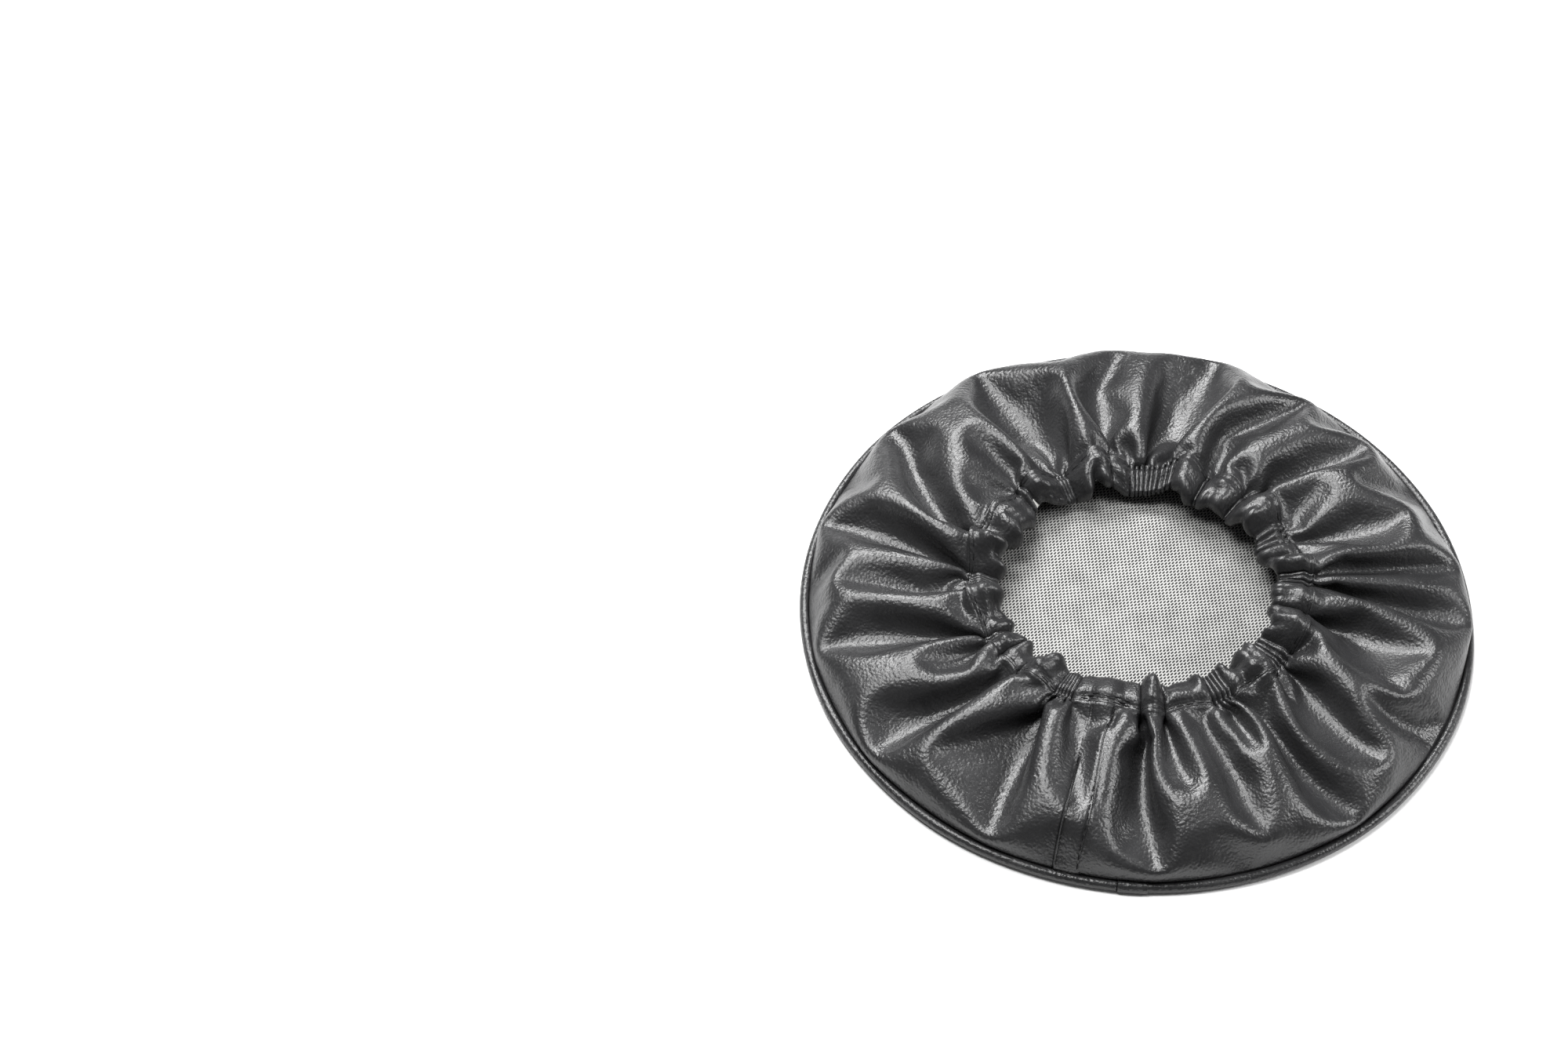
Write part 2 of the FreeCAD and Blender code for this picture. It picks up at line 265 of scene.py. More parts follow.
def gather_band():
    """The band sewn as a cylinder, its hem drawn in and let settle.

    Gives rows of points from the seam to the hem.
    """
    columns = round(BAND_LENGTH / CLOTH_STEP)
    rows = round(BAND_DEPTH / CLOTH_STEP) + 1
    angle = np.arange(columns) / columns * 2 * math.pi
    flat = np.zeros((rows, columns, 3))
    flat[..., 0] = SEAM_RADIUS * np.cos(angle)
    flat[..., 1] = SEAM_RADIUS * np.sin(angle)
    flat[..., 2] = BAND_FOOT + np.linspace(0, BAND_DEPTH, rows)[:, None]
    cloth = new_piece("band_cloth", flat.reshape(-1, 3) * SIM_SCALE, round_faces(rows, columns))
    cloth.shape_key_add(name="flat")
    led = fold_lines(angle, rows)
    for step in range(1, GATHER_STEPS + 1):
        key = cloth.shape_key_add(name=f"gather_{step}")
        drawn = flat.copy()
        drawn[-1] = hem_points(angle, step / GATHER_STEPS)
        share = max(0, (step / GATHER_STEPS - 0.3) / 0.7)
        for row, column, place, _ in led:
            drawn[row, column] = flat[row, column] * (1 - share) + np.array(place) * share
        key.data.foreach_set("co", (drawn.reshape(-1) * SIM_SCALE).astype(np.float32))
        for at, value in ((step - 1, 0), (step, 1), (step + 1, 0)):
            if at <= GATHER_STEPS:
                key.value = value
                key.keyframe_insert("value", frame=1 + GATHER_FRAMES * at / GATHER_STEPS)
    for curve in cloth.data.shape_keys.animation_data.action.fcurves:
        for point in curve.keyframe_points:
            point.interpolation = "LINEAR"
    held = cloth.vertex_groups.new(name="held")
    index = np.arange(rows * columns).reshape(rows, columns)
    held.add([int(i) for i in (*index[0], *index[-1])], 1.0, "REPLACE")
    for row, column, _, strength in led:
        held.add([int(index[row, column])], FOLD_HOLD * strength, "REPLACE")

    modifier = cloth.modifiers.new("settle", "CLOTH")
    settings = modifier.settings
    settings.quality = 5
    settings.mass = 0.3
    settings.tension_stiffness = settings.compression_stiffness = 60
    settings.shear_stiffness = 30
    settings.bending_stiffness = 60
    settings.tension_damping = settings.compression_damping = settings.shear_damping = 15
    settings.bending_damping = 3
    settings.air_damping = 3
    settings.vertex_group_mass = "held"
    settings.pin_stiffness = 2
    settings.use_pressure = True
    weights = settings.effector_weights
    for at, pressure, gravity in ((GATHER_FRAMES - 4, 1.5, 0.1), (GATHER_FRAMES + 3, 0.1, 1)):
        settings.uniform_pressure_force = pressure
        settings.keyframe_insert("uniform_pressure_force", frame=at)
        weights.gravity = gravity
        weights.keyframe_insert("gravity", frame=at)
    touch = modifier.collision_settings
    touch.use_self_collision = True
    touch.self_distance_min = 1 * MM * SIM_SCALE
    touch.collision_quality = 2
    touch.distance_min = 1 * MM * SIM_SCALE

    panel_top = 2 * MM * SIM_SCALE
    bpy.ops.mesh.primitive_plane_add(size=3 * COVER_RADIUS * SIM_SCALE, location=(0, 0, panel_top))
    panel = bpy.context.object
    panel.modifiers.new("touch", "COLLISION")
    panel.collision.thickness_outer = 1 * MM * SIM_SCALE

    scene = bpy.context.scene
    scene.frame_start = modifier.point_cache.frame_start = 1
    scene.frame_end = modifier.point_cache.frame_end = SETTLE_FRAMES
    for number in range(1, SETTLE_FRAMES + 1):
        scene.frame_set(number)
    settled = cloth.evaluated_get(bpy.context.evaluated_depsgraph_get())
    points = np.zeros(rows * columns * 3, np.float32)
    settled.data.vertices.foreach_get("co", points)
    bpy.data.objects.remove(cloth)
    bpy.data.objects.remove(panel)
    for action in list(bpy.data.actions):
        bpy.data.actions.remove(action)
    scene.frame_set(1)
    return points.reshape(rows, columns, 3).astype(float) / SIM_SCALE


def between(points, places, axis, closed):
    """Points of a smooth curve through rows or columns of points, at places that may lie between them."""
    points = np.moveaxis(points, axis, 0)
    count = len(points)
    start = np.floor(places).astype(int)
    if not closed:
        start = np.minimum(start, count - 2)
    share = (places - start).reshape(-1, *[1] * (points.ndim - 1))

    def row(index):
        if closed:
            return points[index % count]
        inside = points[np.clip(index, 0, count - 1)]
        inside = np.where((index < 0).reshape(share.shape), 2 * points[0] - points[1], inside)
        return np.where((index >= count).reshape(share.shape), 2 * points[-1] - points[-2], inside)

    before, here, after, second = row(start - 1), row(start), row(start + 1), row(start + 2)
    made = 0.5 * (
        2 * here + (after - before) * share
        + (2 * before - 5 * here + 4 * after - second) * share ** 2
        + (3 * here - before - 3 * after + second) * share ** 3
    )
    return np.moveaxis(made, 0, axis)


def outwards(points):
    """The direction square to a round grid at each point. It points out of the cover."""
    round_it = np.roll(points, -1, 1) - np.roll(points, 1, 1)
    along = np.gradient(points, axis=0)
    square = np.cross(round_it, along)
    return square / np.maximum(np.linalg.norm(square, axis=2, keepdims=True), 1e-12)


def smooth_rows(points, times):
    """Evens out small jumps of a round grid and keeps its first and last row."""
    for _ in range(times):
        middle = points[1:-1]
        beside = (np.roll(middle, 1, 1) + np.roll(middle, -1, 1) + points[:-2] + points[2:]) / 4
        points = np.concatenate([points[:1], 0.5 * middle + 0.5 * beside, points[-1:]])
    return points


# ---- plies, threads and rings ----

def make_ply(name, points, low, high, material, across, pole=False, closed=True):
    """A ply between two offsets of a grid, low and high above it.

    across is where each column lies on the flat cloth, with the closing place last on a ring. The UV map is
    the flat cloth in metres.
    """
    rows, columns = points.shape[:2]
    square = outwards(points)
    top = points + square * high
    bottom = points + square * low
    count = rows * columns
    index = np.arange(count).reshape(rows, columns)
    wide = columns if closed else columns - 1
    here, there = index[:, :wide], np.roll(index, -1, 1)[:, :wide]
    up = np.r_[0, np.cumsum(np.linalg.norm(np.diff(points, axis=0), axis=2).mean(1))]
    u0, u1 = across[:wide], across[1:wide + 1]

    def flat(*corners):
        return np.stack([np.stack(np.broadcast_arrays(u, v), -1) for u, v in corners], -2).reshape(-1, 4, 2)

    v0, v1 = up[:-1, None], up[1:, None]
    faces = np.stack([here[:-1], there[:-1], there[1:], here[1:]], -1).reshape(-1, 4)
    face_flat = flat((u0, v0), (u1, v0), (u1, v1), (u0, v1))
    groups = [(faces, face_flat), (faces[:, ::-1] + count, face_flat[:, ::-1])]
    for row, turn in ((0, 1), (rows - 1, -1)):
        if row or not pole:
            edge = np.stack([here[row], here[row] + count, there[row] + count, there[row]], -1)
            edge_flat = flat(*[(u, up[row]) for u in (u0, u0, u1, u1)])
            groups.append((edge[:, ::turn], edge_flat[:, ::turn]))
    if not closed:
        for column, turn in ((0, 1), (columns - 1, -1)):
            side = index[:, column]
            edge = np.stack([side[:-1], side[1:], side[1:] + count, side[:-1] + count], -1)
            edge_flat = flat(*[(across[column], v) for v in (up[:-1], up[1:], up[1:], up[:-1])])
            groups.append((edge[:, ::turn], edge_flat[:, ::turn]))
    vertices = np.concatenate([top.reshape(-1, 3), bottom.reshape(-1, 3)])
    all_faces = [face for group, _ in groups for face in group.tolist()]
    all_flat = np.concatenate([group.reshape(-1, 2) for _, group in groups])
    if pole:
        vertices = np.concatenate([vertices, [top[0].mean(0)], [bottom[0].mean(0)]])
        for i in range(columns):
            after = (i + 1) % columns
            all_faces += [[2 * count, after, i], [2 * count + 1, count + i, count + after]]
        all_flat = np.concatenate([all_flat, np.zeros((6 * columns, 2))])
    piece = new_piece(name, vertices, all_faces, material)
    layer = piece.data.uv_layers.new(name="flat_cloth")
    layer.data.foreach_set("uv", all_flat.astype(np.float32).ravel())
    return piece


def on_cloth(points, row, column):
    """The place on a round grid at a row and column that may lie between its points."""
    rows, columns = points.shape[:2]
    low_row = min(int(row), rows - 2)
    up = row - low_row
    low = int(math.floor(column)) % columns
    side = column - math.floor(column)
    high = (low + 1) % columns
    first = points[low_row, low] * (1 - side) + points[low_row, high] * side
    second = points[low_row + 1, low] * (1 - side) + points[low_row + 1, high] * side
    return first * (1 - up) + second * up


def stitch_shape():
    """One stitch of unit length along X: a round thread that rises from its hole and dives into the next."""
    bpy.ops.object.select_all(action="DESELECT")
    bpy.ops.mesh.primitive_cylinder_add(vertices=6, radius=0.5, depth=1, end_fill_type="TRIFAN")
    piece = bpy.context.object
    bpy.ops.object.mode_set(mode="EDIT")
    bpy.ops.mesh.select_all(action="SELECT")
    bpy.ops.transform.rotate(value=math.pi / 2, orient_axis="Y", center_override=(0, 0, 0))
    for share in (-0.36, -0.14, 0.14, 0.36):
        bpy.ops.mesh.select_all(action="SELECT")
        bpy.ops.mesh.bisect(plane_co=(share, 0, 0), plane_no=(1, 0, 0))
    bpy.ops.object.mode_set(mode="OBJECT")
    points = np.array([v.co for v in piece.data.vertices])
    faces = [list(face.vertices) for face in piece.data.polygons]
    bpy.data.objects.remove(piece)
    return points, faces


def sew(name, runs, thickness, material, lift=0.1):
    """Stitches as one piece. Each run is a stitch's two ends and the direction out of the cloth."""
    shape, shape_faces = stitch_shape()
    points, faces = [], []
    for first, last, out in runs:
        along = np.array(last) - np.array(first)
        length = np.linalg.norm(along)
        along = along / length
        out = out - along * np.dot(out, along)
        out = out / np.linalg.norm(out)
        across = np.cross(out, along)
        end = np.clip((np.abs(shape[:, 0]) - 0.3) / 0.2, 0, 1)
        height = shape[:, 2] * thickness * (1 - 0.45 * end) + thickness * (lift - 0.75 * end ** 2)
        width = shape[:, 1] * thickness * (1 - 0.45 * end)
        middle = (np.array(first) + np.array(last)) / 2
        base = len(points)
        points += list(middle + np.outer(shape[:, 0] * length, along) + np.outer(width, across)
                       + np.outer(height, out))
        faces += [[base + i for i in face] for face in shape_faces]
    return new_piece(name, points, faces, material)


def turned_ring(name, outline, material, start=0.0, sweep=360.0, columns=480, wander=0.0):
    """A closed outline of (radius, height) points carried round the cover, a little uneven like sewn cloth."""
    closed = sweep >= 360
    count = columns if closed else columns + 1
    angle = np.radians(start + sweep * np.arange(count) / columns)
    outline = np.array(outline)
    away = np.array([noise.noise((2.2 * math.cos(a), 2.2 * math.sin(a), 3.7)) for a in angle])
    rise = np.array([noise.noise((3.1 * math.cos(a), 3.1 * math.sin(a), 9.1)) for a in angle])
    near_rim = np.clip((outline[:, 0] - RAW_EDGE_RADIUS) / (COVER_RADIUS - RAW_EDGE_RADIUS), 0, 1)
    radius = outline[:, 0][:, None] + wander * near_rim[:, None] * (away - 0.5)[None]
    height = outline[:, 1][:, None] + 0.4 * wander * near_rim[:, None] * np.maximum(rise, 0)[None]
    points = np.stack([radius * np.cos(angle), radius * np.sin(angle), height], -1)
    rows = len(outline)
    index = np.arange(rows * count).reshape(rows, count)
    below = np.roll(index, -1, 0)
    wide = count if closed else count - 1
    after, after_below = np.roll(index, -1, 1)[:, :wide], np.roll(below, -1, 1)[:, :wide]
    faces = np.stack([index[:, :wide], after, after_below, below[:, :wide]], -1).reshape(-1, 4).tolist()
    if not closed:
        faces.append(index[:, 0].tolist())
        faces.append(index[::-1, -1].tolist())
    piece = new_piece(name, points.reshape(-1, 3), faces, material)
    run = np.r_[0, np.cumsum(np.linalg.norm(np.diff(np.vstack([outline, outline[:1]]), axis=0), axis=1))]
    around = COVER_RADIUS * np.radians(sweep)
    u0 = np.arange(wide) / columns * around
    u1 = (np.arange(wide) + 1) / columns * around
    grid = np.ones((rows, wide))
    flat = [np.stack([u * grid, v[:, None] * grid], -1)
            for u, v in ((u0, run[:-1]), (u1, run[:-1]), (u1, run[1:]), (u0, run[1:]))]
    uv = np.stack(flat, 2).reshape(-1, 2)
    layer = piece.data.uv_layers.new(name="flat_cloth")
    values = np.zeros((len(piece.data.loops), 2), np.float32)
    values[:len(uv)] = uv
    layer.data.foreach_set("uv", values.ravel())
    return piece


# ---- finishes ----

def linear(code):
    """A colour from its sRGB hex value."""
    parts = [int(code[i:i + 2], 16) / 255 for i in (1, 3, 5)]
    return (*[c / 12.92 if c <= 0.04045 else ((c + 0.055) / 1.055) ** 2.4 for c in parts], 1)


def add(tree, kind, inputs=None, **settings):
    """Adds a node with its settings. An input is a value or another node's output."""
    node = tree.nodes.new(kind)
    for key, value in settings.items():
        setattr(node, key, value)
    for key, value in (inputs or {}).items():
        if isinstance(value, bpy.types.NodeSocket):
            tree.links.new(value, node.inputs[key])
        else:
            node.inputs[key].default_value = value
    return node


def new_finish(name, **surface):
    material = bpy.data.materials.new(name)
    material.use_nodes = True
    shader = material.node_tree.nodes["Principled BSDF"]
    for key, value in surface.items():
        shader.inputs[key.replace("_", " ")].default_value = value
    return material, material.node_tree, shader


def steps(tree, value, *stops):
    """A ramp between colours or greys."""
    ramp = add(tree, "ShaderNodeValToRGB", {"Fac": value})
    while len(ramp.color_ramp.elements) < len(stops):
        ramp.color_ramp.elements.new(0.5)
    for element, (place, code) in zip(ramp.color_ramp.elements, stops):
        element.position = place
        element.color = linear(code)
    return ramp.outputs["Color"]


GRAIN = 1.6 * MM                # width of one pebble of the embossed grain


def embossed_leatherette():
    """PVC skin rolled with a fine pebble grain: satin black, its soft lights broken up by the grain."""
    material, tree, shader = new_finish("embossed PVC leatherette", Roughness=0.4, IOR=1.5)
    place = add(tree, "ShaderNodeUVMap", uv_map="flat_cloth").outputs["UV"]
    metres = add(tree, "ShaderNodeTexCoord").outputs["Object"]
    bent = add(tree, "ShaderNodeTexNoise", {"Vector": place, "Scale": 0.35 / GRAIN, "Detail": 2.0})
    moved = add(tree, "ShaderNodeVectorMath", {0: bent.outputs["Color"], 1: (GRAIN, GRAIN, 0)},
                operation="MULTIPLY")
    warped = add(tree, "ShaderNodeVectorMath", {0: place, 1: moved.outputs[0]}, operation="ADD").outputs[0]
    pebbles = add(tree, "ShaderNodeTexVoronoi", {"Vector": warped, "Scale": 1 / GRAIN}, feature="SMOOTH_F1")
    wrinkles = add(tree, "ShaderNodeTexNoise", {"Vector": place, "Scale": 0.9 / GRAIN, "Detail": 3.0})
    height = add(tree, "ShaderNodeMath",
                 {0: pebbles.outputs["Distance"], 1: wrinkles.outputs["Fac"], 2: 0.0}, operation="MULTIPLY_ADD")
    patches = add(tree, "ShaderNodeTexNoise", {"Vector": metres, "Scale": 45.0, "Detail": 3.0})
    tree.links.new(steps(tree, patches.outputs["Fac"], (0.35, "#202021"), (0.7, "#272728")),
                   shader.inputs["Base Color"])
    worn = add(tree, "ShaderNodeMapRange", {
        "Value": patches.outputs["Fac"], "From Min": 0.3, "From Max": 0.7, "To Min": 0.3, "To Max": 0.4,
    })
    tree.links.new(worn.outputs[0], shader.inputs["Roughness"])
    bump = add(tree, "ShaderNodeBump", {"Height": height.outputs[0], "Strength": 0.7, "Distance": 0.8 * MM},
               invert=True)
    tree.links.new(bump.outputs[0], shader.inputs["Normal"])
    return material


NET_ROW = 1.5 * MM              # between the knit's rows of holes, a fifth coarser than 1.24 mm to show
NET_PITCH = 3.2 * MM            # between holes along a row
NET_ANGLE = math.radians(50)


def net_knit():
    """Warp-knitted polyester backing: grey-white yarn with rows of dark slanting holes, dry and worn."""
    material, tree, shader = new_finish("warp-knitted polyester net", Roughness=0.85)
    metres = add(tree, "ShaderNodeTexCoord").outputs["Object"]
    turned = add(tree, "ShaderNodeMapping", {"Vector": metres, "Rotation": (0, 0, -NET_ANGLE)})
    axes = add(tree, "ShaderNodeSeparateXYZ", {0: turned.outputs[0]})
    row = add(tree, "ShaderNodeMath", {0: axes.outputs["Y"], 1: NET_ROW}, operation="DIVIDE").outputs[0]
    number = add(tree, "ShaderNodeMath", {0: row}, operation="FLOOR").outputs[0]
    shift = add(tree, "ShaderNodeMath", {0: number, 1: 0.5}, operation="MULTIPLY").outputs[0]
    along = add(tree, "ShaderNodeMath", {0: axes.outputs["X"], 1: 1 / NET_PITCH, 2: shift},
                operation="MULTIPLY_ADD").outputs[0]
    cell = add(tree, "ShaderNodeCombineXYZ", {"X": along, "Y": row})
    share = add(tree, "ShaderNodeVectorMath", {0: cell.outputs[0]}, operation="FRACTION").outputs[0]
    centred = add(tree, "ShaderNodeVectorMath", {0: share, 1: (0.5, 0.5, 0)},
                  operation="SUBTRACT").outputs[0]
    oval = add(tree, "ShaderNodeVectorMath", {0: centred, 1: (2.3, 2.6, 0)}, operation="MULTIPLY").outputs[0]
    away = add(tree, "ShaderNodeVectorMath", {0: oval}, operation="LENGTH").outputs["Value"]
    cloudy = add(tree, "ShaderNodeTexNoise",
                 {"Vector": metres, "Scale": 70.0, "Detail": 4.0, "Roughness": 0.65})
    worn = add(tree, "ShaderNodeMath", {0: cloudy.outputs["Fac"], 1: 0.5, 2: -0.25},
               operation="MULTIPLY_ADD")
    edge = add(tree, "ShaderNodeMath", {0: away, 1: worn.outputs[0]}, operation="SUBTRACT").outputs[0]
    net = steps(tree, edge, (0.8, "#0e0e0f"), (1.0, "#a2a2a0"))
    tree.links.new(net, shader.inputs["Base Color"])
    bump = add(tree, "ShaderNodeBump", {"Height": edge, "Strength": 0.5, "Distance": 0.4 * MM})
    tree.links.new(bump.outputs[0], shader.inputs["Normal"])
    return material


def sewing_thread():
    """Bonded polyester thread: black filaments twisted together, with a dull waxy shine."""
    material, tree, shader = new_finish("bonded polyester thread", Roughness=0.7, Specular_IOR_Level=0.2)
    metres = add(tree, "ShaderNodeTexCoord").outputs["Object"]
    strands = add(tree, "ShaderNodeTexNoise", {"Vector": metres, "Scale": 2500.0, "Detail": 1.0})
    tree.links.new(steps(tree, strands.outputs["Fac"], (0.3, "#08080a"), (0.7, "#1b1b1c")),
                   shader.inputs["Base Color"])
    return material


def woven_elastic():
    """Woven elastic tape: rubber cores under white polyester, ribbed along its length."""
    material, tree, shader = new_finish("woven elastic tape", Roughness=0.75)
    place = add(tree, "ShaderNodeUVMap", uv_map="flat_cloth").outputs["UV"]
    ribs = add(tree, "ShaderNodeTexWave", {"Vector": place, "Scale": 0.5 / MM, "Distortion": 0.4},
               bands_direction="Y")
    tree.links.new(steps(tree, ribs.outputs["Fac"], (0.2, "#8f8f8c"), (0.8, "#d8d8d4")),
                   shader.inputs["Base Color"])
    bump = add(tree, "ShaderNodeBump",
               {"Height": ribs.outputs["Fac"], "Strength": 0.4, "Distance": 0.3 * MM})
    tree.links.new(bump.outputs[0], shader.inputs["Normal"])
    return material


def piping_foam():
    """Extruded foam-rubber piping core: matt grey with tiny pores."""
    material, tree, shader = new_finish("extruded foam rubber", Roughness=0.9)
    metres = add(tree, "ShaderNodeTexCoord").outputs["Object"]
    pores = add(tree, "ShaderNodeTexNoise", {"Vector": metres, "Scale": 1800.0, "Detail": 2.0})
    tree.links.new(steps(tree, pores.outputs["Fac"], (0.35, "#4a4a4b"), (0.65, "#6c6c6d")),
                   shader.inputs["Base Color"])
    bump = add(tree, "ShaderNodeBump",
               {"Height": pores.outputs["Fac"], "Strength": 0.3, "Distance": 0.2 * MM})
    tree.links.new(bump.outputs[0], shader.inputs["Normal"])
    return material


leatherette = embossed_leatherette()
knit = net_knit()
thread = sewing_thread()
elastic = woven_elastic()
foam = piping_foam()


# ---- the band ----

BAND_COLUMNS = round(BAND_LENGTH / CLOTH_STEP)
COLUMN_STEP = 2 * MM            # of the finished band
FINE_STEP = 0.45 * MM           # beside the side seam's edge


def column_places():
    """The finished band's columns on the flat cloth, as angles, closer together at the side seam."""
    places = list(np.arange(0, BAND_LENGTH, COLUMN_STEP))
    join = math.radians(JOIN_ANGLE) * SEAM_RADIUS
    fine = list(join + np.arange(-4, 5) * FINE_STEP)
    fine += list(join + JOIN_WIDTH + np.arange(-4, 7) * FINE_STEP)
    kept = [p for p in places if min(abs(p - f) for f in fine) > FINE_STEP]
    return np.array(sorted(kept + fine)) / SEAM_RADIUS


def seam_relief(cloth_angle):
    """How far the turned ends under the side seam lift the band."""
    across = (cloth_angle - math.radians(JOIN_ANGLE)) * SEAM_RADIUS
    rise = np.clip(across / (0.9 * MM), 0, 1)
    fall = np.clip((JOIN_WIDTH + 3 * MM - across) / (3 * MM), 0, 1)
    lift = 1.1 * MM * np.minimum(rise, fall * fall * (3 - 2 * fall))
    crease = 0.5 * MM * np.exp(-(across / (0.7 * MM)) ** 2)
    groove = 0.45 * MM * np.exp(-((across - JOIN_WIDTH) / (0.9 * MM)) ** 2)
    return lift - crease - groove


def finished_band():
    """The band's middle surface: the turned-in foot, then the gathered wall up to the hem."""
    wall = smooth_rows(gather_band(), 1)
    angle = column_places()
    wall = between(wall, angle / (2 * math.pi) * BAND_COLUMNS, 1, True)
    rows = wall.shape[0]
    wall = between(wall, np.arange(2 * rows - 1) / 2, 0, False)
    rows = wall.shape[0]
    exact = hem_points(angle, 1)
    near_hem = np.clip((np.arange(rows) - (rows - 6)) / 5, 0, 1)[:, None, None]
    wall = wall + (exact - wall[-1]) * near_hem ** 2
    wall = wall + outwards(wall) * seam_relief(angle)[None, :, None]
    foot = []
    for radius in np.linspace(RAW_EDGE_RADIUS, SEAM_RADIUS - 1.5 * MM, 5):
        level = np.full(len(angle), BAND_FOOT)
        foot.append(np.stack([radius * np.cos(angle), radius * np.sin(angle), level], -1))
    return angle, wall, np.concatenate([foot, wall])


band_angle, wall, band = finished_band()
across = np.r_[band_angle * SEAM_RADIUS, BAND_LENGTH]
band_skin = make_ply("side_band_skin", band, SKIN_BACK, SKIN_FACE, leatherette, across)
band_knit = make_ply("side_band_knit", band[:-4], KNIT_BACK, SKIN_BACK, knit, across)


def rise_with_mouth(piece):
    """Bakes the piece's placement into its points."""
    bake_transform(piece)


def follow_mouth(piece):
    """Bakes the placement of one of the band's plies into its points."""
    rise_with_mouth(piece)


follow_mouth(band_skin)
follow_mouth(band_knit)


# ---- the mouth ----

UNDER_GATHERS = 122             # small gathers of the casing's underside, one in every 10 mm of cloth
UNDER_GATHER_DEPTH = 0.9 * MM
TUNNEL_LOW = 1.5 * MM           # half the room that the casing leaves round the elastic


def casing_slope(angle):
    """How steeply the casing falls towards the middle: more on the far side."""
    return np.radians(14 + 8 * np.sin(angle) - 8 * np.cos(angle))


def mouth_base(angle):
    """Radius and height of the hem without its puffs and pleats."""
    wave = fold_wave(angle) - 0.5
    return HEM_RADIUS + FOLD_REACH * wave, mouth_height(angle) + FOLD_RISE * wave


def mouth_frame(angle):
    """The direction into the mouth along the casing, and the direction out of its upper face."""
    slope = casing_slope(angle)
    out = np.stack([np.cos(angle), np.sin(angle), np.zeros_like(angle)], -1)
    level = np.stack([np.zeros_like(angle), np.zeros_like(angle), np.ones_like(angle)], -1)
    cos, sin = np.cos(slope)[:, None], np.sin(slope)[:, None]
    return -cos * out - sin * level, -sin * out + cos * level


WRINKLE_WIDTH = 8.5 * MM        # of one soft dent along the mouth
WRINKLE_LENGTH = 14 * MM
FLAT_HALF = 9.0                 # half of the flat piece by the side seam, in degrees
FLAT_FADE = 4.0


def wrinkle(angle, reach, seed):
    """Soft dents of the casing, which run inwards and fade out along the flat piece by the side seam."""
    dents = np.array([
        noise.noise((a * HEM_RADIUS / WRINKLE_WIDTH, r / WRINKLE_LENGTH, seed)) for a, r in zip(angle, reach)
    ])
    from_seam = np.abs((np.degrees(angle) - JOIN_AT_MOUTH + 180) % 360 - 180)
    return dents * np.clip((from_seam - FLAT_HALF) / FLAT_FADE, 0, 1)


def casing_points(cloth_angle):
    """The hem turned round the elastic: over it, round its inner edge and back under it to the stitches."""
    angle, up = hem_place(cloth_angle)
    radius, height = mouth_base(angle)
    inwards, out = mouth_frame(angle)
    base = np.stack([radius * np.cos(angle), radius * np.sin(angle), height], -1)
    full = np.clip(up, -2.2 * MM, 7 * MM)
    top = 3.2 * MM + np.where(full > 0, 0.8, 0.95) * full
    low = TUNNEL_LOW + 0.5 * (top - 1.3 * MM)
    turn = (top + low) / 2
    tuck = np.clip(-full / (2.2 * MM), 0, 1)
    swell = np.clip(full / (5 * MM), 0, 1)
    reach = 19.8 * MM - 2.4 * MM * tuck + 1.8 * MM * swell + 1.4 * MM * np.cos(angle)
    reach = reach + 2.2 * MM * wrinkle(angle, angle * 0, 5.1)
    straight_up = np.stack([angle * 0, angle * 0, angle * 0 + 1], -1)
    rows = []
    for share in np.linspace(0, 1, 12):
        a = share * (reach - turn)
        blend = np.clip((a - 1.6 * MM) / (4 * MM), 0, 1)
        blend = blend * blend * (3 - 2 * blend)
        lift = up + (top - up) * blend - 0.5 * MM * np.exp(-((a - 1.5 * MM) / (1.2 * MM)) ** 2)
        buckle = (1.6 + 4.6 * share ** 2) * MM * (0.6 + swell)
        lift = lift + buckle * wrinkle(angle, a, 1.3) * blend
        lift = lift + 1.1 * MM * swell * np.sin(math.pi * share) * blend
        rows.append((a, lift))
    edge = rows[-1][1]
    middle = (edge - low) / 2
    for theta in np.linspace(0, math.pi, 9)[1:]:
        a = reach - turn + (edge + low) / 2 * np.sin(theta)
        rows.append((a, middle + (edge + low) / 2 * np.cos(theta)))
    for share in np.linspace(1, 0, 8)[1:]:
        a = 1.5 * MM + share * (reach - turn - 1.5 * MM)
        under = np.minimum(-low, up - 1.6 * MM)
        blend = np.clip(a / (7 * MM), 0, 1)
        fade = min(1, 4 * share, 4 * (1 - share))
        gathers = UNDER_GATHER_DEPTH * fade * (np.sin(cloth_angle * UNDER_GATHERS) - 1)
        rows.append((a, under * (1 - blend) - low * blend + gathers))
    made = []
    for a, lift in rows:
        lean = np.clip(a / (3 * MM), 0, 1)[:, None]
        made.append(base + inwards * a[:, None] + (out * lean + straight_up * (1 - lean)) * lift[:, None])
    made[0] = hem_points(cloth_angle, 1)
    return np.stack(made)


casing = casing_points(band_angle)
casing_skin = make_ply("casing_skin", casing, SKIN_BACK, SKIN_FACE, leatherette, across)
casing_knit = make_ply("casing_knit", casing[5:-2], KNIT_BACK, SKIN_BACK, knit, across)
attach(casing_skin, "mouth")
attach(casing_knit, "mouth")


def elastic_points(start, end, inner, outer, lift, columns):
    """A strip of elastic tape lying flat in the casing."""
    angle = np.radians(np.linspace(start, end, columns))
    radius, height = mouth_base(angle)
    inwards, out = mouth_frame(angle)
    base = np.stack([radius * np.cos(angle), radius * np.sin(angle), height], -1)
    return np.stack([base + inwards * a + out * lift for a in np.linspace(outer, inner, 9)])


